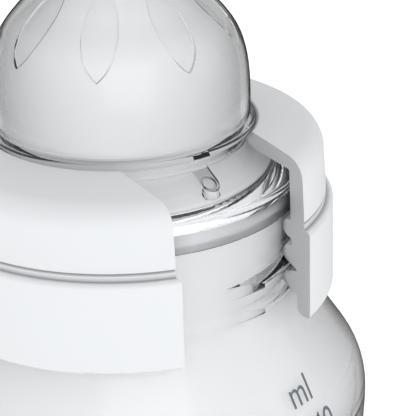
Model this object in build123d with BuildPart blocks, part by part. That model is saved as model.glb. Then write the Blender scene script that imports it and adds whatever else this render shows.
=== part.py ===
"""A wide-neck feeding bottle: blown body, silicone teat, and a screw ring with a slot cut through its front.

Millimetres, +Z up. The origin is the middle of the base, on the surface the bottle stands on. The slot in the
ring faces -Y. Radii and heights are read in the X-Z half plane, as (radius, height).
"""

import os
from math import atan2, cos, degrees, radians, sin

from build123d import *

# Datum of the closure: the height of the step on the ring's outer wall.
step_z = 98.0

# Screw thread shared by the neck and the ring: two starts, right-handed.
lead = 8.6
starts = 2
pitch = lead / starts
clear_of = 4 * pitch  # reach of a cut that runs well past what it cuts
thread_datum_azimuth = -90 + 20.6  # degrees; the ridge heights below hold at this azimuth

# Bottle body.
neck_r = 27.2
bore_r = 25.0
rim_z = step_z + 1.5
rim_round = 0.5
shoulder_top_z = step_z - 13.0
shoulder_angle = 33.2  # degrees from vertical
shoulder_blend = 2.5
belly_r = 38.6
belly_bend = 12.5
waist_r = 33.4
waist_z = 34.0
heel_r = 35.2
heel_round = 6.0
foot_width = 3.6
push_up = 3.0
wall = 1.6

# Ridges moulded on the neck, as offsets from a ridge's middle height.
neck_ridge_z = step_z - 6.9
neck_ridge_rows = 2
neck_ridge_arc = 157.0
neck_ridge_tip = -101.0  # azimuth where a ridge rises out of the neck
neck_ridge_root_r = 26.4
neck_ridge_crest_r = 28.7
neck_ridge_bite = 0.1  # how far the planes that trim a ridge's ends cut into the neck

# Screw ring.
ring_top_z = step_z + 12.78
ring_seat_r = 21.35  # outer edge of the bevel that the teat's bead sits over
ring_seat_z = step_z + 11.45
ring_bottom_z = step_z - 14.55
ring_skirt_r = 33.1
ring_wall_r = 31.85
ring_crown_r = 31.35
ring_opening_r = 20.0
ring_bore_r = 28.8
ring_skirt_bore_r = 30.5
seam_z = step_z + 1.1
slot_right_x = 10.68
slot_left_x = -13.47

# Ridges inside the ring.
ring_ridge_z = step_z - 9.28
ring_ridge_tip_r = 27.55
ring_ridge_root_r = 31.2
ring_ridge_lead_in = 30.0
ring_ridge_arc = 405.0

# Teat.
flange_r = 28.35
flange_bottom_z = rim_z + 0.05
flange_edge_r = 27.0
flange_edge_z = step_z + 6.1
teat_neck_r = 19.7
teat_neck_z = step_z + 12.15
bead_r = 20.9
bead_z = step_z + 12.7
bulb_r = 20.15
bulb_wall = 1.55
belly_line_z = step_z + 16.8
nipple_r = 6.6
nipple_round = 5.0
teat_top_z = step_z + 50.0
feed_hole_r = 0.35
lip_r = 24.6

# The flange's cone, from its outer edge up to the neck.
cone_top_r = 20.7
cone_top_z = step_z + 9.85
cone_slope = (cone_top_z - flange_edge_z) / (flange_edge_r - cone_top_r)

# One-way valves in the flange. Each has a round pocket square to the cone, with a disc in it, and a shallow
# trough that leads up to the neck. Its stem hangs below the flange. Its slit is closed, so it has no width.
valve_count = 2
valve_azimuths = [-92.6 + index * 360 / valve_count for index in range(valve_count)]
valve_centre_r = 22.0
valve_pocket_r = 1.25
valve_pocket_depth = 0.7
valve_disc_r = 0.95
valve_disc_height = 0.25
valve_stem_r = 1.6
valve_stem_z = step_z + 7.4
valve_slit_half_width = 0.35
valve_tip_z = step_z + 4.9
trough_width = 2.9
trough_depth = 0.4
trough_inner_r = 18.6

# Petal ribs inside the bulb.
petal_count = 8
petal_azimuth = -138.2
petal_bottom_z = step_z + 24.8
petal_height = 11.0
petal_width = 5.4
petal_depth = 0.5
bulb_foot_z = step_z + 13.75
bulb_foot_r = 20.05


def at_azimuth(azimuth, z=0.0):
    """The vertical plane through the axis at an azimuth: its x runs outwards and its y runs up."""
    return Plane(origin=(0, 0, z), x_dir=outward(azimuth, 1), z_dir=outward(azimuth - 90, 1))


def outward(azimuth, radius, z=0.0):
    """The point at a radius from the axis, at an azimuth and a height."""
    return Vector(radius * cos(radians(azimuth)), radius * sin(radians(azimuth)), z)


def cone_z(radius):
    """The height of the flange's cone at a radius."""
    return cone_top_z - cone_slope * (radius - cone_top_r)


def outline(*corners):
    """A closed outline from (x, y, fillet radius) corners."""
    return FilletPolyline([(x, y) for x, y, _ in corners], radius=[r for _, _, r in corners], close=True)


def round_corners(sketch, radius, *places):
    """Fillets the corners of a sketch that are nearest to the given places."""
    fillet([sketch.vertices().sort_by_distance(place)[0] for place in places], radius)


def body_side(inset, top_r, top_z):
    """The half section of the body from its axis out and up to top_z, moved inwards by inset.

    Returns the point where the shoulder meets the neck.
    """
    slope = radians(shoulder_angle)
    drop = (belly_r - neck_r) * cos(slope) + belly_bend * (1 - cos(slope))
    belly_z = shoulder_top_z - drop / sin(slope)
    bend = belly_bend - inset
    centre_r = belly_r - belly_bend
    belly = (belly_r - inset, belly_z)
    bend_top = (centre_r + bend * cos(slope), belly_z + bend * sin(slope))
    neck_foot = (top_r, bend_top[1] + (bend_top[0] - top_r) * cos(slope) / sin(slope))
    foot_outer_r = heel_r - heel_round
    foot_inner_r = foot_outer_r - foot_width
    heel_side = (heel_r - inset, heel_round)
    TangentArc((0, push_up + inset), (foot_inner_r, inset), tangent=(1, 0))
    Line((foot_inner_r, inset), (foot_outer_r, inset))
    TangentArc((foot_outer_r, inset), heel_side, tangent=(1, 0))
    Spline(heel_side, (waist_r - inset, waist_z), belly, tangents=[(0, 1), (0, 1)])
    TangentArc(belly, bend_top, tangent=(0, 1))
    Polyline(bend_top, neck_foot, (top_r, top_z), (0, top_z), (0, push_up + inset))
    return neck_foot


# --- Ridge on the neck: flat crest, long upper flank, steep underside.
with BuildPart() as neck_ridge:
    with BuildSketch(Plane.XZ):
        with BuildLine():
            outline(
                (neck_ridge_root_r, 1.75, 0),
                (neck_ridge_crest_r, 0.1, 0.35),
                (neck_ridge_crest_r, -0.72, 0.25),
                (neck_ridge_root_r, -1.35, 0),
            )
        make_face()
    with BuildLine() as neck_helix:
        Helix(lead, lead * neck_ridge_arc / 360, neck_r)
    sweep(path=neck_helix.line, is_frenet=True)
    # Both ends run out into the neck: each is cut by a plane that touches the neck at the ridge's tip.
    for tip in (0, neck_ridge_arc):
        with BuildSketch(at_azimuth(tip)):
            with Locations((neck_r - neck_ridge_bite, 0)):
                Rectangle(pitch, clear_of, align=(Align.MIN, Align.CENTER))
        extrude(amount=clear_of, both=True, mode=Mode.SUBTRACT)

# --- Bottle body.
with BuildPart() as bottle_body:
    with BuildSketch(Plane.XZ) as outer_section:
        with BuildLine():
            outer_neck_foot = body_side(0, neck_r, rim_z)
        make_face()
        round_corners(outer_section, shoulder_blend, outer_neck_foot)
        round_corners(outer_section, rim_round, (neck_r, rim_z))
    revolve(axis=Axis.Z)
    tip_azimuth = thread_datum_azimuth - neck_ridge_tip
    for turn in range(starts):
        for row in range(neck_ridge_rows):
            ridge_z = neck_ridge_z - lead * tip_azimuth / 360 - row * pitch
            with Locations(Location((0, 0, ridge_z), (0, 0, neck_ridge_tip + turn * 360 / starts))):
                add(neck_ridge.part)
    with BuildSketch(Plane.XZ) as inner_section:
        with BuildLine():
            inner_neck_foot = body_side(wall, bore_r, rim_z)
        make_face()
        round_corners(inner_section, shoulder_blend + wall, inner_neck_foot)
    revolve(axis=Axis.Z, mode=Mode.SUBTRACT)
    inner_rim = bottle_body.edges().filter_by(GeomType.CIRCLE).group_by(Axis.Z)[-1].sort_by(SortBy.RADIUS)[0]
    fillet(inner_rim, rim_round)
bottle_body.part.label = "bottle_body"

# --- Ridge inside the ring: sawtooth, its flat upper side bearing on the neck's ridges.
with BuildPart() as ring_ridge:
    with BuildSketch(Plane.XZ):
        with BuildLine():
            outline(
                (ring_ridge_root_r, 2.1, 0),
                (28.0, 1.25, 0.3),
                (ring_ridge_tip_r, 0.62, 0.3),
                (ring_ridge_tip_r, -0.62, 0.4),
                (28.2, -1.2, 0),
                (ring_ridge_root_r, -2.45, 0),
            )
        make_face()
    with BuildLine() as ring_helix:
        Helix(lead, lead * ring_ridge_arc / 360, ring_ridge_tip_r)
    sweep(path=ring_helix.line, is_frenet=True)

# --- Screw ring.
with BuildPart() as screw_ring:
    with BuildSketch(Plane.XZ):
        with BuildLine():
            outline(
                (ring_opening_r, ring_seat_z, 0.25),
                (ring_seat_r, ring_top_z, 0.25),
                (ring_crown_r, step_z + 10.75, 3.6),
                (ring_wall_r, seam_z + 0.25, 0),
                (ring_wall_r - 0.3, seam_z, 0),
                (ring_wall_r, seam_z - 0.25, 0),
                (ring_wall_r + 0.02, step_z, 0),
                (33.0, step_z, 0.7),
                (ring_skirt_r, ring_bottom_z, 0.6),
                (ring_skirt_bore_r, ring_bottom_z, 1.2),
                (ring_skirt_bore_r - 0.05, step_z - 11.25, 0),
                (30.3, step_z - 7.5, 0),
                (29.3, step_z - 3.25, 0),
                (29.05, step_z + 1.07, 0),
                (ring_bore_r, step_z + 9.05, 0.4),
                (21.3, step_z + 10.15, 0.6),
                (ring_opening_r, step_z + 10.75, 0.5),
            )
        make_face()
    revolve(axis=Axis.Z)
    lead_in_drop = lead * ring_ridge_lead_in / 360
    for turn in range(starts):
        start_azimuth = thread_datum_azimuth - ring_ridge_lead_in + turn * 360 / starts
        with Locations(Location((0, 0, ring_ridge_z - lead_in_drop), (0, 0, start_azimuth))):
            add(ring_ridge.part)
    with BuildSketch(Plane.XY.offset(ring_bottom_z - pitch)):
        with Locations((slot_left_x, 0)):
            Rectangle(slot_right_x - slot_left_x, 2 * ring_skirt_r, align=(Align.MIN, Align.MAX))
    extrude(amount=ring_top_z - ring_bottom_z + 2 * pitch, mode=Mode.SUBTRACT)
screw_ring.part.label = "screw_ring"


def bulb_side(inset, foot_r, foot_z):
    """The side of the bulb and nipple from the bulb's foot to the tip, moved inwards by inset."""
    nipple_side = (nipple_r - inset, teat_top_z - nipple_round)
    Spline(
        (foot_r, foot_z),
        (bulb_r - inset, belly_line_z),
        (18.3 - inset, step_z + 27.2),
        (13.3 - 0.8 * inset, step_z + 33.2 - 0.6 * inset),
        (8.8 - 0.9 * inset, step_z + 37.8 - 0.5 * inset),
        nipple_side,
        tangents=[(0.05, 1), (0, 1), (-0.55, 1), (-1, 1), (-0.55, 1), (0, 1)],
    )
    Spline(nipple_side, (0, teat_top_z - inset), tangents=[(0, 1), (-1, 0)], tangent_scalars=[1.2, 1.2])


def on_cone(azimuth, rise):
    """The plane square to the flange's cone at a valve, raised off the cone by rise."""
    tilt = 90 - degrees(atan2(cone_slope, 1))
    normal = outward(azimuth, cos(radians(tilt)), sin(radians(tilt)))
    return Plane(origin=outward(azimuth, valve_centre_r, cone_z(valve_centre_r)), z_dir=normal).offset(rise)


# --- Petal ribs: leaves that stand a little proud of the bulb's inner wall.
with BuildPart() as petals:
    for index in range(petal_count):
        leaf_azimuth = petal_azimuth + index * 360 / petal_count
        with BuildSketch(at_azimuth(leaf_azimuth + 90, petal_bottom_z)):
            with BuildLine():
                ThreePointArc((0, 0), (petal_width / 2, petal_height / 2), (0, petal_height))
                ThreePointArc((0, petal_height), (-petal_width / 2, petal_height / 2), (0, 0))
            make_face()
        extrude(amount=bulb_r)
    with BuildSketch(Plane.XZ):
        with BuildLine():
            bulb_side(bulb_wall + petal_depth, bulb_r - bulb_wall - petal_depth, bulb_foot_z)
            Polyline((0, teat_top_z - bulb_wall - petal_depth), (0, bulb_foot_z),
                     (bulb_r - bulb_wall - petal_depth, bulb_foot_z))
        make_face()
    revolve(axis=Axis.Z, mode=Mode.SUBTRACT)
    with BuildSketch(Plane.XZ):
        with BuildLine():
            bulb_side(bulb_wall - petal_depth, bulb_r - bulb_wall + petal_depth, bulb_foot_z)
            Polyline((0, teat_top_z - bulb_wall + petal_depth), (0, bulb_foot_z),
                     (bulb_r - bulb_wall + petal_depth, bulb_foot_z))
        make_face()
    revolve(axis=Axis.Z, mode=Mode.INTERSECT)

# --- Valve troughs: shallow channels down the flange's cone, from the neck to each pocket.
with BuildPart() as troughs:
    for azimuth in valve_azimuths:
        trough_middle = outward(azimuth, (trough_inner_r + valve_centre_r) / 2)
        with BuildSketch(Plane.XY.offset(flange_edge_z)):
            with Locations(Location(trough_middle, (0, 0, azimuth))):
                SlotCenterToCenter(valve_centre_r - trough_inner_r, trough_width)
        extrude(amount=2 * pitch)
    with BuildSketch(Plane.XZ):
        with BuildLine():
            Polyline(
                (teat_neck_r, cone_z(teat_neck_r) - trough_depth),
                (flange_edge_r, flange_edge_z - trough_depth),
                (flange_edge_r, flange_edge_z + pitch),
                (teat_neck_r, cone_z(teat_neck_r) + pitch / 2),
                close=True,
            )
        make_face()
    revolve(axis=Axis.Z, mode=Mode.INTERSECT)

# --- Teat.
with BuildPart() as teat:
    with BuildSketch(Plane.XZ) as teat_outer:
        with BuildLine():
            bulb_side(0, bulb_foot_r, bulb_foot_z)
            Polyline((0, teat_top_z), (0, flange_bottom_z), (flange_r, flange_bottom_z),
                     (flange_r - 0.2, step_z + 4.75), (flange_r - 0.45, step_z + 5.0))
            ThreePointArc((flange_r - 0.45, step_z + 5.0), (27.75, step_z + 5.75),
                          (flange_edge_r, flange_edge_z))
            Polyline((flange_edge_r, flange_edge_z), (cone_top_r, cone_top_z), (teat_neck_r, step_z + 10.5),
                     (teat_neck_r, teat_neck_z), (bead_r - 0.55, teat_neck_z))
            bead_top = (bead_r - 0.4, bead_z + 0.65)
            ThreePointArc((bead_r - 0.55, teat_neck_z), (bead_r, bead_z), bead_top)
            Line(bead_top, (bulb_foot_r, bulb_foot_z))
        make_face()
        round_corners(teat_outer, 0.3, (flange_r, flange_bottom_z))
        round_corners(teat_outer, 0.8, (teat_neck_r, step_z + 10.5))
        round_corners(teat_outer, 0.2, (teat_neck_r, teat_neck_z), bead_top)
    revolve(axis=Axis.Z)
    with BuildSketch(Plane.XZ) as lip_section:
        with BuildLine():
            outline(
                (22.2, flange_bottom_z + 0.5, 0),
                (lip_r, flange_bottom_z + 0.5, 0),
                (lip_r - 0.1, rim_z - 0.9, 0.2),
                (lip_r - 1.2, rim_z - 2.4, 0.35),
                (22.3, rim_z - 2.4, 0.35),
            )
        make_face()
    revolve(axis=Axis.Z)
    with BuildSketch(Plane.XZ) as cavity_section:
        with BuildLine():
            cavity_foot = (bulb_foot_r - bulb_wall + 0.05, bulb_foot_z)
            bulb_side(bulb_wall, *cavity_foot)
            Spline(cavity_foot, (16.6, step_z + 10.6), tangents=[(-0.4, -1), (0, -1)])
            Polyline((16.6, step_z + 10.6), (16.6, step_z + 9.2), (21.0, step_z + 6.9), (23.2, step_z + 5.6),
                     (22.3, rim_z - 2.5), (0, rim_z - 2.5), (0, teat_top_z - bulb_wall))
        make_face()
        round_corners(cavity_section, 1.0, (16.6, step_z + 9.2), (23.2, step_z + 5.6))
    revolve(axis=Axis.Z, mode=Mode.SUBTRACT)
    # Valve stems hang below the flange, round at the top and pinched to a closed slit at the bottom.
    for azimuth in valve_azimuths:
        with BuildSketch(Plane.XY.offset(valve_stem_z)):
            with Locations(outward(azimuth, valve_centre_r)):
                Circle(valve_stem_r)
        with BuildSketch(Plane.XY.offset(valve_tip_z)):
            with Locations(Location(outward(azimuth, valve_centre_r), (0, 0, azimuth))):
                Ellipse(valve_slit_half_width, valve_pocket_r)
        loft()
    add(troughs.part, mode=Mode.SUBTRACT)
    for azimuth in valve_azimuths:
        with BuildSketch(on_cone(azimuth, -valve_pocket_depth)):
            Circle(valve_pocket_r)
        extrude(amount=pitch, mode=Mode.SUBTRACT)
        with BuildSketch(on_cone(azimuth, -valve_pocket_depth)):
            Circle(valve_disc_r)
        extrude(amount=valve_disc_height)
    add(petals.part)
    with BuildSketch(Plane.XY.offset(teat_top_z - 2 * bulb_wall)):
        Circle(feed_hole_r)
    extrude(amount=4 * bulb_wall, mode=Mode.SUBTRACT)
teat.part.label = "teat"

os.makedirs("parts", exist_ok=True)
for piece in (bottle_body, screw_ring, teat):
    export_step(piece.part, f"parts/{piece.part.label}.step")
    print(piece.part.label, "volume", round(piece.part.volume), "solids", len(piece.part.solids()))
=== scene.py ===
"""The looks of a wide-neck feeding bottle: a clear body, a silicone teat and a white ring cut open by a slot.

Everything is in metres, +Z up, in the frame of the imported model.
"""

from __future__ import annotations

import logging
import math
from dataclasses import dataclass
from enum import Enum
from typing import Callable

import bpy
from mathutils import Matrix, Vector


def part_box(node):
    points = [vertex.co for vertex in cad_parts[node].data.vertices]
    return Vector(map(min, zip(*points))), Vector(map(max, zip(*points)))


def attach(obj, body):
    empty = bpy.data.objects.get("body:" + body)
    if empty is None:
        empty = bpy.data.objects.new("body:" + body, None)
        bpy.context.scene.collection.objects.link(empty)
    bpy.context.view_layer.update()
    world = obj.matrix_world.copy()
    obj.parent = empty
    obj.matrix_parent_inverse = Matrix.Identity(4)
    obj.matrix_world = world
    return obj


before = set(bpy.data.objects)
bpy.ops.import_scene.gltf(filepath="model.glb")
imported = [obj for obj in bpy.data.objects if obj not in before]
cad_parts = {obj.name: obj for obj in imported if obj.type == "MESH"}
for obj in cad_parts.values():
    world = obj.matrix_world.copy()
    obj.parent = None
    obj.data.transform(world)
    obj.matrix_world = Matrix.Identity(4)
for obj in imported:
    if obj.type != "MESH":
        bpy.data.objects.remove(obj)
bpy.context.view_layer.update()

LOG = logging.getLogger("feeding_bottle")
MM = 0.001
ML = 1e-6
WELD = 0.002 * MM

Rgb = tuple[float, float, float]
Stops = tuple[tuple[float, float], ...]  # a place along a ramp, and its whiteness from 0 to 1


class Ray(Enum):
    """The kinds of ray that are told apart."""

    CAMERA = "Is Camera Ray"
    DIFFUSE = "Is Diffuse Ray"
    GLOSSY = "Is Glossy Ray"
    SHADOW = "Is Shadow Ray"


class Steps(Enum):
    """How a ramp passes from one stop to the next."""

    SMOOTH = "LINEAR"
    SHARP = "CONSTANT"


# --- Modelling by hand ---------------------------------------------------------------------------


def clear_selection() -> None:
    """Leaves object mode with nothing selected."""
    if bpy.context.object and bpy.context.object.mode != "OBJECT":
        bpy.ops.object.mode_set(mode="OBJECT")
    bpy.ops.object.select_all(action="DESELECT")


def only(piece: bpy.types.Object) -> None:
    """Makes piece the one selected and active object."""
    clear_selection()
    piece.select_set(True)
    bpy.context.view_layer.objects.active = piece


def smooth(piece: bpy.types.Object, angle: float = 32.0) -> None:
    """Shades the piece smooth, with an edge kept where faces meet at more than angle degrees."""
    only(piece)
    bpy.ops.object.shade_smooth_by_angle(angle=math.radians(angle))


def dress(piece: bpy.types.Object, finish: Finish) -> None:
    """Gives a piece its one finish and reports it."""
    piece.data.materials.clear()
    piece.data.materials.append(finish.build())
    LOG.info("%s: %s, %d faces", piece.name, finish.name, len(piece.data.polygons))


def lining(
    node: str, name: str, keep: Callable[[Vector, Vector], bool], gap: float, thickness: float
) -> bpy.types.Object:
    """A thin skin lifted off some faces of a CAD node.

    Args:
        node: the CAD node that the skin follows.
        name: the skin's name.
        keep: says from a face's middle and normal whether the skin covers it.
        gap: how far the skin stands off the node, in metres, or less than zero where it is moulded in.
        thickness: the skin's own thickness, in metres.

    Returns:
        The skin, a mesh of its own.
    """
    clear_selection()
    skin = bpy.data.objects.new(name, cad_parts[node].data.copy())
    skin.data.name = name
    bpy.context.scene.collection.objects.link(skin)
    only(skin)
    bpy.ops.mesh.customdata_custom_splitnormals_clear()
    bpy.ops.object.mode_set(mode="EDIT")
    bpy.ops.mesh.select_mode(type="FACE")
    bpy.ops.mesh.select_all(action="DESELECT")
    bpy.ops.object.mode_set(mode="OBJECT")
    for face in skin.data.polygons:
        face.select = not keep(face.center, face.normal)
    bpy.ops.object.mode_set(mode="EDIT")
    bpy.ops.mesh.delete(type="FACE")
    bpy.ops.mesh.select_all(action="SELECT")
    bpy.ops.mesh.remove_doubles(threshold=WELD)
    bpy.ops.transform.shrink_fatten(value=gap)
    bpy.ops.object.mode_set(mode="OBJECT")
    wall = skin.modifiers.new("wall", "SOLIDIFY")
    wall.thickness = thickness
    wall.offset = 1
    bpy.ops.object.modifier_apply(modifier=wall.name)
    smooth(skin)
    return skin


# --- Wiring of nodes -----------------------------------------------------------------------------


def opaque(colour: Rgb) -> tuple[float, float, float, float]:
    """The colour with nothing shining through it."""
    return (*colour, 1)


def grey(white: float) -> Rgb:
    """A grey of the given whiteness."""
    return (white, white, white)


class Wiring:
    """Adds nodes to a node tree and joins them up, where a source is a socket or a plain value."""

    def __init__(self, tree: bpy.types.NodeTree) -> None:
        """Starts on a tree.

        Args:
            tree: the tree that the nodes go into.
        """
        self.nodes = tree.nodes
        self.links = tree.links

    def add(self, kind: str, **settings: object) -> bpy.types.Node:
        """Adds a shader node.

        Args:
            kind: the node's type, without its leading ShaderNode.
            settings: the node's own settings by name.

        Returns:
            The node.
        """
        node = self.nodes.new("ShaderNode" + kind)
        for name, value in settings.items():
            setattr(node, name, value)
        return node

    def feed(self, node: bpy.types.Node, **sources: object) -> None:
        """Feeds a node's inputs.

        Args:
            node: the node.
            sources: each input's source by the input's name, with _ for a space.
        """
        for name, source in sources.items():
            self.join(node.inputs[name.replace("_", " ")], source)

    def join(self, socket: bpy.types.NodeSocket, source: object) -> None:
        """Joins an input socket to its source."""
        if isinstance(source, bpy.types.NodeSocket):
            self.links.new(source, socket)
        else:
            socket.default_value = source

    def maths(self, operation: str, *sources: object) -> bpy.types.NodeSocket:
        """Works out a number.

        Args:
            operation: the Math node's operation.
            sources: what it works on, in order.

        Returns:
            The result's socket.
        """
        node = self.add("Math", operation=operation)
        for socket, source in zip(node.inputs, sources):
            self.join(socket, source)
        return node.outputs[0]

    def mix(self, factor: object, first: object, second: object) -> bpy.types.NodeSocket:
        """Blends two colours.

        Args:
            factor: the share of the second.
            first: the colour at 0.
            second: the colour at 1.

        Returns:
            The blend's socket.
        """
        node = self.add("Mix", data_type="RGBA")
        self.feed(node, Factor=factor, A=first, B=second)
        return node.outputs["Result"]

    def mix_shaders(self, factor: object, first: object, second: object) -> bpy.types.NodeSocket:
        """Blends two shaders, as mix does two colours."""
        node = self.add("MixShader")
        for socket, source in zip(node.inputs, (factor, first, second)):
            self.join(socket, source)
        return node.outputs[0]

    def ramp(self, source: object, stops: Stops, steps: Steps = Steps.SMOOTH) -> bpy.types.NodeSocket:
        """Turns a number into a grey.

        Args:
            source: the number, from 0 to 1.
            stops: places along the ramp and their whiteness.
            steps: how it passes from stop to stop.

        Returns:
            The grey's socket.
        """
        node = self.add("ValToRGB")
        node.color_ramp.interpolation = steps.value
        elements = node.color_ramp.elements
        elements.remove(elements[-1])
        for index, (place, white) in enumerate(stops):
            stop = elements[0] if index == 0 else elements.new(place)
            stop.position = place
            stop.color = opaque(grey(white))
        self.feed(node, Fac=source)
        return node.outputs["Color"]

    def hollows(self, reach: float) -> bpy.types.NodeSocket:
        """How open each point is, from 0 in a deep corner to 1 in the open.

        Args:
            reach: how far it looks for other faces, in metres.

        Returns:
            The socket of the value.
        """
        node = self.add("AmbientOcclusion", samples=8)
        self.feed(node, Distance=reach)
        return node.outputs["AO"]


class Shared:
    """Shader node groups that more than one finish uses."""

    @staticmethod
    def fine_grain() -> bpy.types.NodeTree:
        """The faint unevenness of a moulded surface.

        Returns:
            A group with inputs Vector and Scale, and outputs Value, from 0 to 1, and Height.
        """
        found = bpy.data.node_groups.get("fine_grain")
        if found:
            return found
        fine_to_broad = 14.0
        group = bpy.data.node_groups.new("fine_grain", "ShaderNodeTree")
        group.interface.new_socket("Vector", in_out="INPUT", socket_type="NodeSocketVector")
        group.interface.new_socket("Scale", in_out="INPUT", socket_type="NodeSocketFloat")
        group.interface.new_socket("Value", in_out="OUTPUT", socket_type="NodeSocketFloat")
        group.interface.new_socket("Height", in_out="OUTPUT", socket_type="NodeSocketFloat")
        wiring = Wiring(group)
        given, made = group.nodes.new("NodeGroupInput"), group.nodes.new("NodeGroupOutput")
        scale = given.outputs["Scale"]
        for output, size in (("Value", scale), ("Height", wiring.maths("MULTIPLY", scale, fine_to_broad))):
            noise = wiring.add("TexNoise")
            wiring.feed(noise, Vector=given.outputs["Vector"], Scale=size, Detail=3.0)
            wiring.join(made.inputs[output], noise.outputs[0])
        return group


# --- Finishes ------------------------------------------------------------------------------------


@dataclass(frozen=True)
class Finish:
    """A finish: a Principled shader, with the grain of a moulded surface in its roughness and normal."""

    name: str
    colour: Rgb
    roughness: float
    roughness_spread: float = 0.06
    grain_scale: float = 120.0
    grain_depth: float = 0.004 * MM

    def build(self) -> bpy.types.Material:
        """Makes the material, or gives the one made before."""
        found = bpy.data.materials.get(self.name)
        if found:
            return found
        material = bpy.data.materials.new(self.name)
        material.use_nodes = True
        wiring = Wiring(material.node_tree)
        shader = wiring.nodes["Principled BSDF"]
        place = wiring.add("TexCoord", name="place")
        grain = wiring.add("Group", node_tree=Shared.fine_grain())
        wiring.feed(grain, Vector=place.outputs["Object"], Scale=self.grain_scale)
        rough = wiring.add("MapRange", name="rough")
        least, most = (self.roughness + side * self.roughness_spread / 2 for side in (-1, 1))
        wiring.feed(rough, Value=grain.outputs["Value"], To_Min=least, To_Max=most)
        bump = wiring.add("Bump")
        wiring.feed(bump, Strength=1.0, Distance=self.grain_depth, Height=grain.outputs["Height"])
        wiring.feed(
            shader, Base_Color=opaque(self.colour), Roughness=rough.outputs[0], Normal=bump.outputs[0]
        )
        self.dress(wiring, shader)
        return material

    def dress(self, wiring: Wiring, shader: bpy.types.Node) -> None:
        """Adds what sets this finish apart. A plain finish adds nothing.

        Args:
            wiring: the wiring of the material's tree.
            shader: the Principled shader.
        """


@dataclass(frozen=True)
class ClearFinish(Finish):
    """A clear moulding: silicone or plastic, which lets light through, with painted shade darkening its
    outline where it turns away from the eye.
    """

    ior: float = 1.41
    edge_start: float = 0.72
    edge_end: float = 0.95
    # painted shade: how far the outline is mixed towards the dark colour below
    edge_depth: float = 0.8
    # painted shade: the dark colour of the outline
    edge_colour: Rgb = (0.02, 0.02, 0.02)
    shadow_colour: Rgb = (0.96, 0.965, 0.97)

    def dress(self, wiring: Wiring, shader: bpy.types.Node) -> None:
        """Makes the shader clear with a painted dark outline, and lets shadow rays through."""
        wiring.feed(shader, IOR=self.ior, Transmission_Weight=1.0)
        turn, edge = wiring.add("LayerWeight"), wiring.add("MapRange")
        wiring.feed(turn, Blend=0.5)
        wiring.feed(
            edge, Value=turn.outputs["Facing"],
            From_Min=self.edge_start, From_Max=self.edge_end, To_Max=self.edge_depth,
        )
        dark, through = wiring.add("BsdfDiffuse"), wiring.add("BsdfTransparent")
        wiring.feed(dark, Color=opaque(self.edge_colour))
        wiring.feed(through, Color=opaque(self.shadow_colour))
        # painted shade: a dark diffuse mixed in along the outline, by how far the face turns away
        outlined = wiring.mix_shaders(edge.outputs[0], shader.outputs[0], dark.outputs[0])
        in_shadow = wiring.add("LightPath").outputs[Ray.SHADOW.value]
        surface = wiring.mix_shaders(in_shadow, outlined, through.outputs[0])
        wiring.feed(wiring.nodes["Material Output"], Surface=surface)


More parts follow.
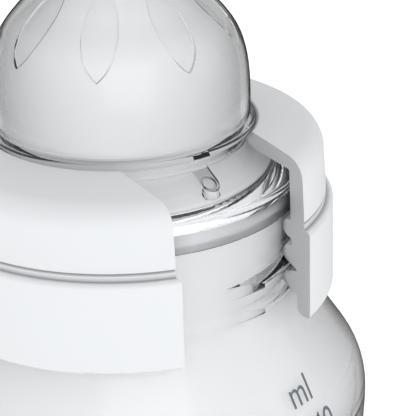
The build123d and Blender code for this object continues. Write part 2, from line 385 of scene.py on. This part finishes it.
@dataclass(frozen=True)
class SiliconeFinish(ClearFinish):
    """Clear silicone, duller on the flange's rim and in the valves' troughs and pockets, where painted shade
    greys it, darkest on the rim where the ring closes in.
    """

    # painted shade: the grey of the rim
    band_colour: Rgb = (0.38, 0.38, 0.385)
    # painted shade: the dark that the rim turns to where the ring closes in around it
    band_shade: Rgb = (0.01, 0.01, 0.01)
    band_r: float = 28.0 * MM
    band_z: float = 101.25 * MM
    band_half_height: float = 1.5 * MM
    dullness: float = 0.3
    shade_reach: float = 5.0 * MM
    shade_depth: float = 1.8
    cone_top_r: float = 20.7 * MM
    cone_top_z: float = 107.85 * MM
    cone_slope: float = 0.5952
    cone_foot_r: float = 24.0 * MM
    valve_reach: float = 1.1 * MM
    valve_top: float = 0.15
    valve_floor: float = 0.95
    # painted shade in the valves: whiteness by depth below the cone
    valve_greys: Stops = ((0.0, 1.0), (0.15, 0.5), (0.43, 0.8), (0.56, 0.45), (0.95, 1.0))

    def dress(self, wiring: Wiring, shader: bpy.types.Node) -> None:
        """Makes the shader clear, then dulls the rim and the valves and paints shade on them, deepening the
        rim's painted shade in its hollows.
        """
        super().dress(wiring, shader)
        split, across = wiring.add("SeparateXYZ"), wiring.add("CombineXYZ")
        reach = wiring.add("VectorMath", operation="LENGTH")
        wiring.feed(split, Vector=wiring.nodes["place"].outputs["Object"])
        wiring.feed(across, X=split.outputs["X"], Y=split.outputs["Y"])
        wiring.join(reach.inputs[0], across.outputs[0])
        radius, height = reach.outputs["Value"], split.outputs["Z"]
        band, valve = self.band(wiring, radius, height), self.valve(wiring, radius, height)
        # painted shade: the rim darkens in its hollows, near the ring
        open_share = wiring.maths("POWER", wiring.hollows(self.shade_reach), self.shade_depth)
        band_colour = wiring.mix(open_share, opaque(self.band_shade), opaque(self.band_colour))
        # painted shade in the valves' troughs and pockets
        colour = wiring.mix(valve[0], opaque(self.colour), valve[1])
        dull = wiring.maths("MAXIMUM", band, valve[0])
        rough = wiring.maths("MULTIPLY_ADD", dull, self.dullness, wiring.nodes["rough"].outputs[0])
        wiring.feed(shader, Base_Color=wiring.mix(band, colour, band_colour), Roughness=rough)

    def band(
        self, wiring: Wiring, radius: bpy.types.NodeSocket, height: bpy.types.NodeSocket
    ) -> bpy.types.NodeSocket:
        """Masks the flange's rim, which is dulled and given painted shade.

        Args:
            wiring: the wiring of the material's tree.
            radius: the distance from the axis.
            height: the height.

        Returns:
            The mask's socket.
        """
        outside = wiring.maths("GREATER_THAN", radius, self.band_r)
        level = wiring.maths("COMPARE", height, self.band_z, self.band_half_height)
        return wiring.maths("MULTIPLY", outside, level)

    def valve(
        self, wiring: Wiring, radius: bpy.types.NodeSocket, height: bpy.types.NodeSocket
    ) -> tuple[bpy.types.NodeSocket, bpy.types.NodeSocket]:
        """Masks what is sunk into the flange's cone, and paints shade on it by how deep it lies.

        Args:
            wiring: the wiring of the material's tree.
            radius: the distance from the axis.
            height: the height.

        Returns:
            The sockets of the mask and of the painted shade.
        """
        cone_peak = self.cone_top_z + self.cone_slope * self.cone_top_r
        cone = wiring.maths("MULTIPLY_ADD", radius, -self.cone_slope, cone_peak)
        depth = wiring.maths("DIVIDE", wiring.maths("SUBTRACT", cone, height), self.valve_reach)
        on_cone = wiring.maths("LESS_THAN", radius, self.cone_foot_r)
        below_top = wiring.maths("GREATER_THAN", depth, self.valve_top)
        below_floor = wiring.maths("GREATER_THAN", depth, self.valve_floor)
        mask = wiring.maths("MULTIPLY", on_cone, wiring.maths("SUBTRACT", below_top, below_floor))
        return mask, wiring.ramp(depth, self.valve_greys, Steps.SHARP)


@dataclass(frozen=True)
class LiningFinish(Finish):
    """A satin inner face with painted light, a faint glow, and painted shade where it turns away from the
    eye.
    """

    # painted shade: the grey that the face turns to where it turns away from the eye
    edge_colour: Rgb = (0.3, 0.31, 0.32)
    blend: float = 0.35
    # painted light: how strongly the face glows, though it is no lamp
    glow: float = 0.3

    def dress(self, wiring: Wiring, shader: bpy.types.Node) -> None:
        """Lays painted shade over the face by how far it turns away, and makes the face glow as painted
        light.
        """
        turn = wiring.add("LayerWeight")
        wiring.feed(turn, Blend=self.blend)
        shown = wiring.mix(turn.outputs["Facing"], opaque(self.colour), opaque(self.edge_colour))
        # painted light and shade: the shaded colour also glows
        wiring.feed(shader, Base_Color=shown, Emission_Color=shown, Emission_Strength=self.glow)


@dataclass(frozen=True)
class CutFinish(Finish):
    """The ring's white plastic, with a cooler, duller grey on the two faces of the slot, partly a section
    tint and partly painted shade, and painted shade dark in its corners.
    """

    # partly a section tint and partly painted shade on the slot's two faces
    cut_colour: Rgb = (0.57, 0.585, 0.6)
    # painted shade: the colour of the deepest corners
    corner_colour: Rgb = (0.02, 0.02, 0.022)
    left_x: float = -13.47 * MM
    right_x: float = 10.68 * MM
    cut_width: float = 0.01 * MM
    shade_reach: float = 1.0 * MM

    def dress(self, wiring: Wiring, shader: bpy.types.Node) -> None:
        """Masks the two planes of the slot, gives them a grey that is partly tint and partly painted shade,
        and paints shade into the corners.
        """
        split = wiring.add("SeparateXYZ")
        wiring.feed(split, Vector=wiring.nodes["place"].outputs["Object"])
        on_left, on_right = (
            wiring.maths("COMPARE", split.outputs["X"], face_x, self.cut_width)
            for face_x in (self.left_x, self.right_x)
        )
        in_front = wiring.maths("LESS_THAN", split.outputs["Y"], 0.0)
        cut = wiring.maths("MULTIPLY", wiring.maths("MAXIMUM", on_left, on_right), in_front)
        # a grey on the slot's faces, partly tint and partly painted shade
        plastic = wiring.mix(cut, opaque(self.colour), opaque(self.cut_colour))
        # painted shade: darker where other faces close in
        shown = wiring.mix(wiring.hollows(self.shade_reach), opaque(self.corner_colour), plastic)
        wiring.feed(shader, Base_Color=shown)


RING_PLASTIC = CutFinish("satin_white", (0.86, 0.88, 0.9), 0.34)
TEAT_SILICONE = SiliconeFinish(
    "clear_silicone", (0.97, 0.975, 0.98), 0.05, 0.03, edge_end=0.88, edge_depth=0.95
)
# both satins carry a painted glow and painted shade at their turned-away edges
TEAT_SATIN = LiningFinish("teat_satin", (0.93, 0.935, 0.94), 0.5, blend=0.42, glow=0.31)
BODY_PLASTIC = ClearFinish("clear_plastic", (0.975, 0.98, 0.985), 0.04, 0.03, ior=1.49)
BODY_SATIN = LiningFinish("body_satin", (0.93, 0.935, 0.94), 0.5, blend=0.2, glow=0.4)
SCALE_INK = Finish("scale_ink", (0.16, 0.19, 0.22), 0.45, 0.15, 300.0)
FLOOR_WHITE = Finish("floor_white", (0.93, 0.93, 0.93), 0.7, 0.1, 8.0, 0.0)


# --- The bottle's sub-assemblies -----------------------------------------------------------------


def outwardness(middle: Vector, normal: Vector) -> tuple[float, float]:
    """How a face stands to the axis.

    Args:
        middle: the face's middle.
        normal: the face's normal.

    Returns:
        Its distance from the axis, and how far it faces away from the axis, from -1 to 1.
    """
    radius = math.hypot(middle.x, middle.y)
    return radius, (middle.x * normal.x + middle.y * normal.y) / max(radius, 1e-9)


@dataclass
class Body:
    """The clear bottle body and the satin of its inner wall."""

    bore_r: float = 25.0 * MM
    bore_slack: float = 0.5 * MM
    rim_bare: float = 0.6 * MM
    neck_foot_z: float = 85.0 * MM
    heel_r: float = 34.0 * MM
    heel_z: float = 8.0 * MM
    floor_facing: float = 0.05
    wall_facing: float = -0.2
    gap: float = 0.1 * MM
    skin: float = 0.05 * MM

    def build(self) -> None:
        """Dresses the body and lines its inside."""
        dress(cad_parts["bottle_body"], BODY_PLASTIC)
        self.lined_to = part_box("bottle_body")[1].z - self.rim_bare
        lined = lining("bottle_body", "body_lining", self.inside, self.gap, self.skin)
        dress(lined, BODY_SATIN)
        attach(lined, "bottle")

    def inside(self, middle: Vector, normal: Vector) -> bool:
        """Whether a face belongs to the inner wall or the inner floor."""
        radius, outwards = outwardness(middle, normal)
        if middle.z < self.heel_z:
            return normal.z > self.floor_facing and radius < self.heel_r
        under_ridge = middle.z > self.neck_foot_z and radius > self.bore_r + self.bore_slack
        return outwards < self.wall_facing and middle.z < self.lined_to and not under_ridge


@dataclass
class MeasuringScale:
    """The printed scale on the body's front, in millilitres, at the heights where the body holds them."""

    first_ml: int = 30
    last_ml: int = 240
    step_ml: int = 10
    label_ml: int = 30
    line_width: float = 0.45 * MM
    short_line: float = 4.5 * MM
    long_line: float = 8.0 * MM
    line_pieces: int = 8
    left_x: float = -6.0 * MM
    figure_height: float = 3.6 * MM
    height_to_size: float = 0.7
    figure_gap: float = 1.4 * MM
    clear_of: float = 10.0 * MM
    stand_off: float = 0.02 * MM
    ink: float = 0.04 * MM
    row_height: float = 0.5 * MM

    def levels(self) -> dict[int, float]:
        """Works out each mark's height from the body's inner wall.

        Returns:
            The height of the liquid, in metres, for each mark in millilitres.
        """
        reach: dict[int, float] = {}
        for vertex in bpy.data.objects["body_lining"].data.vertices:
            row = int(vertex.co.z // self.row_height)
            reach[row] = max(reach.get(row, 0), math.hypot(vertex.co.x, vertex.co.y))
        marks = list(range(self.first_ml, self.last_ml + 1, self.step_ml))
        found, volume, radius = {}, 0.0, 0.0
        for row in range(min(reach), max(reach)):
            radius = reach.get(row, radius)
            volume += math.pi * radius**2 * self.row_height
            while marks and volume >= marks[0] * ML:
                found[marks.pop(0)] = (row + 1) * self.row_height
        return found

    def build(self) -> None:
        """Draws the lines and figures in front of the body and lays them on it."""
        self.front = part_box("bottle_body")[0].y - self.clear_of
        prints, top = [], 0.0
        for millilitres, height in self.levels().items():
            labelled = millilitres % self.label_ml == 0
            prints.append(self.line(self.long_line if labelled else self.short_line, height))
            if labelled:
                prints.append(self.figure(str(millilitres), height - self.figure_height / 2))
                top = height
        prints.append(self.figure("ml", top + self.figure_height))
        clear_selection()
        for part in prints:
            part.select_set(True)
        bpy.context.view_layer.objects.active = prints[0]
        bpy.ops.object.transform_apply(location=True, rotation=True, scale=True)
        bpy.ops.object.join()
        scale = bpy.context.object
        scale.name = scale.data.name = "measuring_scale"
        self.lay_on_body(scale)
        dress(scale, SCALE_INK)
        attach(scale, "bottle")

    def line(self, length: float, height: float) -> bpy.types.Object:
        """Draws one flat line.

        Args:
            length: its length, in metres.
            height: its height, in metres.

        Returns:
            The line, in pieces that can follow a curve.
        """
        clear_selection()
        bpy.ops.mesh.primitive_grid_add(
            x_subdivisions=self.line_pieces, y_subdivisions=1, size=1, rotation=(math.pi / 2, 0, 0),
            location=(self.left_x + length / 2, self.front, height),
        )
        line = bpy.context.object
        line.scale = (length, self.line_width, 1)
        return line

    def figure(self, text: str, foot: float) -> bpy.types.Object:
        """Writes a figure beside the lines.

        Args:
            text: what it says.
            foot: the height of its foot, in metres.

        Returns:
            The figure as a flat mesh.
        """
        clear_selection()
        left = self.left_x + self.long_line + self.figure_gap
        bpy.ops.object.text_add(location=(left, self.front, foot), rotation=(math.pi / 2, 0, 0))
        figure = bpy.context.object
        figure.data.body = text
        figure.data.size = self.figure_height / self.height_to_size
        bpy.ops.object.convert(target="MESH")
        return bpy.context.object

    def lay_on_body(self, scale: bpy.types.Object) -> None:
        """Moves the flat print back onto the body and gives it the thickness of ink."""
        laid = scale.modifiers.new("laid", "SHRINKWRAP")
        laid.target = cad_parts["bottle_body"]
        laid.wrap_method = "PROJECT"
        laid.wrap_mode = "ABOVE_SURFACE"
        laid.use_project_y = True
        laid.offset = self.stand_off
        bpy.ops.object.modifier_apply(modifier=laid.name)
        ink = scale.modifiers.new("ink", "SOLIDIFY")
        ink.thickness = self.ink
        bpy.ops.object.modifier_apply(modifier=ink.name)


@dataclass
class Teat:
    """The silicone teat and the satin of its inner wall."""

    neck_r: float = 16.6 * MM
    neck_z: float = 107.3 * MM
    underside_slope: float = 0.523
    underside_slack: float = 0.3 * MM
    underside_r: float = 23.4 * MM
    lip_z: float = 97.3 * MM
    foot_z: float = 108.6 * MM
    foot_top_z: float = 111.75 * MM
    bulb_inner_r: float = 19.6 * MM
    tip_bare_r: float = 0.6 * MM
    tip_bare: float = 1.8 * MM
    wall_facing: float = -0.05
    roof_facing: float = -0.5
    underside_facing: float = 0.1
    gap: float = 0.08 * MM
    skin: float = 0.05 * MM
    moulded_in: float = 0.03 * MM

    def build(self) -> None:
        """Dresses the teat and lines it, with a second lining moulded into the bulb's thick foot."""
        dress(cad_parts["teat"], TEAT_SILICONE)
        self.lined_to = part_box("teat")[1].z - self.tip_bare
        for name, keep, gap in (
            ("teat_lining", self.inside, self.gap),
            ("teat_foot_lining", self.at_the_foot, -self.skin - self.moulded_in),
        ):
            lined = lining("teat", name, keep, gap, self.skin)
            dress(lined, TEAT_SATIN)
            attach(lined, "teat")

    def inside(self, middle: Vector, normal: Vector) -> bool:
        """Whether a face belongs to the inner wall, from the sealing lip up to the bulb."""
        radius, outwards = outwardness(middle, normal)
        if middle.z > self.neck_z:
            in_bulb = middle.z < self.lined_to and self.tip_bare_r < radius < self.bulb_inner_r
            return in_bulb and (outwards < self.wall_facing or normal.z < self.roof_facing)
        underside = self.neck_z - self.underside_slope * (radius - self.neck_r) + self.underside_slack
        faces_down = normal.z < self.underside_facing
        return radius < self.underside_r and faces_down and self.lip_z < middle.z < underside

    def at_the_foot(self, middle: Vector, normal: Vector) -> bool:
        """Whether a face belongs to the inner wall of the bulb's thick foot."""
        return self.foot_z < middle.z < self.foot_top_z and self.inside(middle, normal)


@dataclass
class ScrewRing:
    """The white screw ring with its slot."""

    def build(self) -> None:
        """Dresses the ring."""
        dress(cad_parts["screw_ring"], RING_PLASTIC)


# --- Studio --------------------------------------------------------------------------------------


@dataclass
class Studio:
    """The floor, the lights, the white room and the camera."""

    step_z: float = 98.0 * MM
    camera_x: float = -155.9 * MM
    camera_y: float = -204.1 * MM
    camera_rise: float = 112.7 * MM
    yaw: float = 40.31
    pitch: float = 24.29
    roll: float = -1.285
    lens: float = 152.7
    floor_reach: float = 4.0
    floor_glow: float = 0.5
    roof_start: float = 0.45
    roof_end: float = 0.6
    clear_strength: float = 1.0
    clear_sides: tuple[float, float] = (0.7, 0.5)
    clear_roof: float = 1.0
    gloss_strength: float = 0.5
    sky_strength: float = 0.92
    sky_sides: tuple[float, float] = (0.65, 0.65)
    sky_roof: float = 0.85

    def build(self) -> None:
        """Makes the whole studio."""
        self.floor()
        self.lights()
        self.surroundings()
        self.camera()
        bpy.context.scene.view_settings.view_transform = "Standard"

    def floor(self) -> None:
        """A plain white floor, which clear and glossy surfaces don't show."""
        clear_selection()
        bpy.ops.mesh.primitive_circle_add(vertices=96, radius=self.floor_reach, fill_type="NGON")
        floor = bpy.context.object
        floor.name = "floor"
        material = FLOOR_WHITE.build()
        shader = material.node_tree.nodes["Principled BSDF"]
        shader.inputs["Emission Color"].default_value = opaque(grey(1))
        shader.inputs["Emission Strength"].default_value = self.floor_glow
        floor.data.materials.append(material)
        floor.visible_transmission = floor.visible_glossy = False

    def lights(self) -> None:
        """A broad key from the front left and a weaker fill from the front right."""
        self.lamp("key", azimuth=-120, height=0.25, reach=0.9, size=0.8, watts=1.15)
        self.lamp("fill", azimuth=-40, height=0.2, reach=0.9, size=0.5, watts=0.2)

    def lamp(self, name: str, azimuth: float, height: float, reach: float, size: float, watts: float) -> None:
        """A square soft light that looks at the closure.

        Args:
            name: the lamp's name.
            azimuth: where it stands round the bottle, in degrees.
            height: its height above the closure, in metres.
            reach: how far it stands from the axis, in metres.
            size: its side, in metres.
            watts: its power.
        """
        clear_selection()
        turn = math.radians(azimuth)
        place = Vector((reach * math.cos(turn), reach * math.sin(turn), self.step_z + height))
        bpy.ops.object.light_add(type="AREA", location=place)
        lamp = bpy.context.object
        lamp.name = name
        lamp.data.size = size
        lamp.data.energy = watts
        aim = Vector((0, 0, self.step_z)) - place
        lamp.rotation_euler = aim.to_track_quat("-Z", "Y").to_euler()

    def surroundings(self) -> None:
        """A white room: plain to the camera, even for gloss, and greyer at its sides for the rest."""
        world = bpy.data.worlds.new("white_room")
        bpy.context.scene.world = world
        world.use_nodes = True
        wiring = Wiring(world.node_tree)
        split = wiring.add("SeparateXYZ")
        wiring.feed(split, Vector=wiring.add("TexCoord").outputs["Generated"])
        azimuth = wiring.maths("ARCTAN2", split.outputs["Y"], split.outputs["X"])
        around, high = wiring.add("MapRange"), wiring.add("MapRange")
        wiring.feed(around, Value=azimuth, From_Min=-math.pi, From_Max=math.pi)
        wiring.feed(high, Value=split.outputs["Z"], From_Min=self.roof_start, From_Max=self.roof_end)

        def room(strength: float, sides: tuple[float, float], roof: float) -> bpy.types.NodeSocket:
            """A room with an even roof, and sides that fade from one whiteness to another all round."""
            side = wiring.ramp(around.outputs[0], ((0.0, sides[0]), (1.0, sides[1])))
            return even(strength, wiring.mix(high.outputs[0], side, opaque(grey(roof))))

        def even(strength: float, colour: object) -> bpy.types.NodeSocket:
            """A background of a given strength and colour."""
            background = wiring.add("Background")
            wiring.feed(background, Strength=strength, Color=colour)
            return background.outputs[0]

        path = wiring.add("LightPath")
        shown = room(self.clear_strength, self.clear_sides, self.clear_roof)
        for ray, seen in (
            (Ray.GLOSSY, even(self.gloss_strength, opaque(grey(1)))),
            (Ray.DIFFUSE, room(self.sky_strength, self.sky_sides, self.sky_roof)),
            (Ray.CAMERA, even(1.0, opaque(grey(1)))),
        ):
            shown = wiring.mix_shaders(path.outputs[ray.value], shown, seen)
        wiring.feed(wiring.nodes["World Output"], Surface=shown)
        wiring.nodes.remove(wiring.nodes["Background"])

    def camera(self) -> None:
        """The camera, in front and to the left, looking down on the slot."""
        yaw, pitch, roll = (math.radians(angle) for angle in (self.yaw, self.pitch, self.roll))
        clear_selection()
        place = (self.camera_x, self.camera_y, self.step_z + self.camera_rise)
        bpy.ops.object.camera_add(location=place)
        camera = bpy.context.object
        camera.name = "camera"
        level = Matrix.Rotation(-yaw, 4, "Z") @ Matrix.Rotation(math.pi / 2 - pitch, 4, "X")
        camera.rotation_euler = (level @ Matrix.Rotation(roll, 4, "Z")).to_euler()
        camera.data.lens = self.lens
        camera.data.sensor_width = 36
        camera.data.clip_start = 0.01
        bpy.context.scene.camera = camera


def main() -> None:
    """Builds the bottle, part by part, and its studio."""
    logging.basicConfig(level=logging.INFO, format="%(message)s")
    for part in (Body(), MeasuringScale(), Teat(), ScrewRing(), Studio()):
        part.build()
        LOG.info("%s is built", type(part).__name__)


if __name__ == "__main__":
    main()
